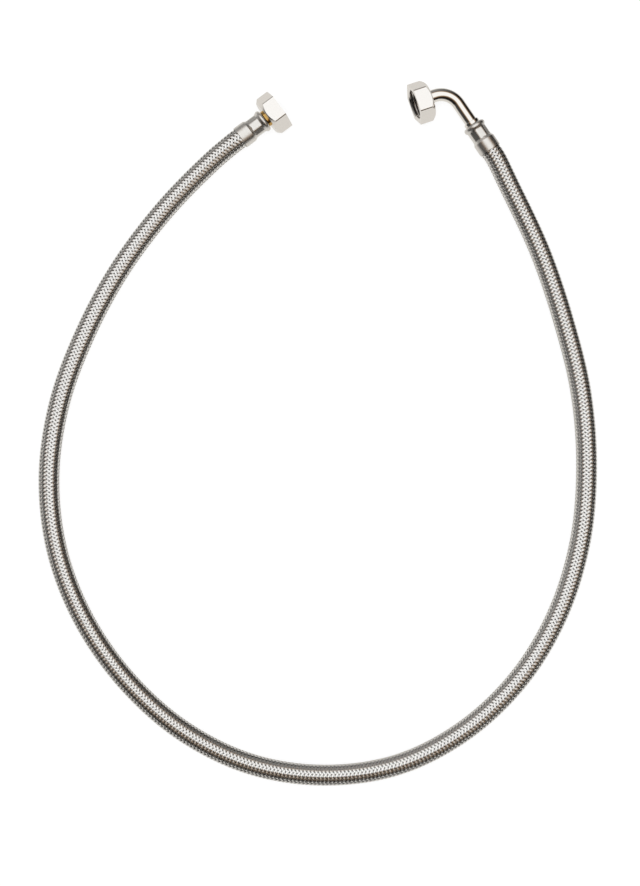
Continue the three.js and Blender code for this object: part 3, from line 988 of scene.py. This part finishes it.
def metal(name, colour, roughness, grain, depth):
    """A bare metal with a grain in its gloss and surface, of a size and a depth in millimetres."""
    material, tree = empty_material(name)
    place = add_node(tree, "ShaderNodeTexCoord").outputs["Object"]
    noise = add_node(tree, "ShaderNodeTexNoise", {"Scale": 1 / (grain * MM), "Detail": 3.0},
                     {"Vector": place}).outputs["Fac"]
    low, high = (roughness * share for share in METAL_GLOSS)
    gloss = add_node(tree, "ShaderNodeMapRange", {"To Min": low, "To Max": high}, {"Value": noise}).outputs[0]
    bump = add_node(tree, "ShaderNodeBump", {"Strength": 0.3, "Distance": depth * MM},
                    {"Height": noise}).outputs[0]
    shader = add_node(tree, "ShaderNodeBsdfPrincipled", {"Base Color": linear(colour), "Metallic": 1.0},
                      {"Roughness": gloss, "Normal": bump})
    add_node(tree, "ShaderNodeOutputMaterial", None, {0: shader.outputs[0]})
    return material


# The real grain of all four is too fine to show, so it is drawn as coarse as it needs to be, in millimetres.
# Sheet pressed in a die and squeezed by jaws: a soft shine, in which light and dark run into each other
pressed_steel = metal("pressed stainless steel", "F2F0EC", roughness=0.34, grain=1.5, depth=0.01)
# Plating over machined faces: bright and slightly warm, and not quite a mirror
nickel_plate = metal("nickel plated brass", "FAF7F3", roughness=0.14, grain=0.9, depth=0.02)
# Plating over a polished pipe: nearly a mirror, with sharp bright and dark bands
polished_nickel = metal("polished nickel plated pipe", "FAF7F2", roughness=0.06, grain=3.0, depth=0.005)
# Bar turned and left bare: golden, with a machined shine
turned_brass = metal("turned brass", "D6AE66", roughness=0.18, grain=1.0, depth=0.01)
print("metals made:", pressed_steel.name, nickel_plate.name, polished_nickel.name, turned_brass.name)

# %% [markdown]
# ## Drawn wire
# Each bundle is a row of bright drawn wires side by side. They could be modelled, but there are more than a
# hundred, so a wave across each strip stands for them, with painted shade between two wires.

# %% Drawn wire
# Wires of a quarter millimetre show one by one only from close by. From the camera they blur, and what
# they give the eye is a bright strip with a soft sheen across it.
WIRE_SPACING = 0.25
# The wave texture repeats after this length at a scale of one
WAVE_PERIOD = 2 * math.pi / 20
WIRE_ROUNDNESS = 0.08
WIRE_ROUGHNESS = 0.22
# Painted shade between two wires, up to the bare bright metal on the back of one
WIRE_PAINTED_SHADE = [(0.0, "E4E3E0"), (0.4, "FBFAF8")]

wire, tree = empty_material("drawn stainless wire")
strip = add_node(tree, "ShaderNodeAttribute", {"attribute_name": "strip"}).outputs["Vector"]
ribs = add_node(tree, "ShaderNodeTexWave", {"bands_direction": "Y", "Scale": WAVE_PERIOD / WIRE_SPACING},
                {"Vector": strip}).outputs["Fac"]
bump = add_node(tree, "ShaderNodeBump", {"Strength": 0.1, "Distance": WIRE_ROUNDNESS * MM},
                {"Height": ribs}).outputs[0]
# Painted shade: the wire's colour darkens between two wires, where the wave is low
painted_wire_shade = add_node(tree, "ShaderNodeValToRGB", links={"Fac": ribs})
set_ramp(painted_wire_shade, WIRE_PAINTED_SHADE)
shader = add_node(tree, "ShaderNodeBsdfPrincipled", {"Metallic": 1.0, "Roughness": WIRE_ROUGHNESS},
                  {"Base Color": painted_wire_shade.outputs["Color"], "Normal": bump})
add_node(tree, "ShaderNodeOutputMaterial", None, {0: shader.outputs[0]})
print("wire every", WIRE_SPACING, "mm")

# %% [markdown]
# ## Rubber
# The tube is extruded and the washers are punched from sheet. A plain black would do for a render this
# small, but a faint unevenness in the gloss keeps them from looking like paint when seen close by.

# %% Rubber
RUBBER_ROUGHNESS = (0.6, 0.8)
RUBBER_GRAIN = 0.8
RUBBER_DENTS = 0.02


def rubber(name, colour):
    """Black rubber with a dull, faintly uneven skin."""
    material, tree = empty_material(name)
    place = add_node(tree, "ShaderNodeTexCoord").outputs["Object"]
    skin = add_node(tree, "ShaderNodeTexNoise", {"Scale": 1 / (RUBBER_GRAIN * MM), "Detail": 2.0},
                    {"Vector": place}).outputs[0]
    low, high = RUBBER_ROUGHNESS
    gloss = add_node(tree, "ShaderNodeMapRange", {"To Min": low, "To Max": high}, {"Value": skin}).outputs[0]
    bump = add_node(tree, "ShaderNodeBump", {"Strength": 0.3, "Distance": RUBBER_DENTS * MM},
                    {"Height": skin}).outputs[0]
    shader = add_node(tree, "ShaderNodeBsdfPrincipled", {"Base Color": linear(colour)},
                      {"Roughness": gloss, "Normal": bump})
    add_node(tree, "ShaderNodeOutputMaterial", None, {0: shader.outputs[0]})
    return material


# Dull and nearly black: the dark in the gaps of the braid
tube_rubber = rubber("extruded rubber", "141414")
# The same, a little greyer: a dark ring at the bottom of each nut
washer_rubber = rubber("punched sealing rubber", "262523")
print("rubbers made:", tube_rubber.name, washer_rubber.name)

# %% [markdown]
# ## Putting it together
# Every piece gets its finish and the body that it moves with, so that the dressed nuts turn when the plain
# ones do, and the plain node that it stands for is hidden. Each row also names the slot of its finish,
# which nothing here uses.

# %% Pieces, bodies and slots
PIECES = [
    (rubber_tube, tube_rubber, "hose", "inner_tube", "inner_tube"),
    *[(piece, wire, "hose", "braid_sleeve", "braid") for piece in braid],
    (straight_ferrule, pressed_steel, "hose", "straight_ferrule", "ferrule"),
    (elbow_ferrule, pressed_steel, "hose", "elbow_ferrule", "ferrule"),
    (straight_tail, turned_brass, "hose", "straight_tailpiece", "tailpiece"),
    (bent_pipe, polished_nickel, "hose", "elbow_pipe", "pipe"),
    (straight_nut_piece, nickel_plate, "straight_nut", "straight_union_nut", "nut"),
    (elbow_nut_piece, nickel_plate, "elbow_nut", "elbow_union_nut", "nut"),
    (straight_washer, washer_rubber, "straight_nut", "straight_sealing_washer", "washer"),
    (elbow_washer, washer_rubber, "elbow_nut", "elbow_sealing_washer", "washer"),
]
for piece, material, body, node, slot in PIECES:
    piece.data.materials.clear()
    piece.data.materials.append(material)
    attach(piece, body)
    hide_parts(node)
print(len(PIECES), "pieces")

# %% [markdown]
# ## The length of the hose
# The hose bends wherever it likes. Its true length along the middle line, worked out above, is printed
# here.

# %% Cord
print(f"cord of {HOSE_LENGTH:.0f} mm")
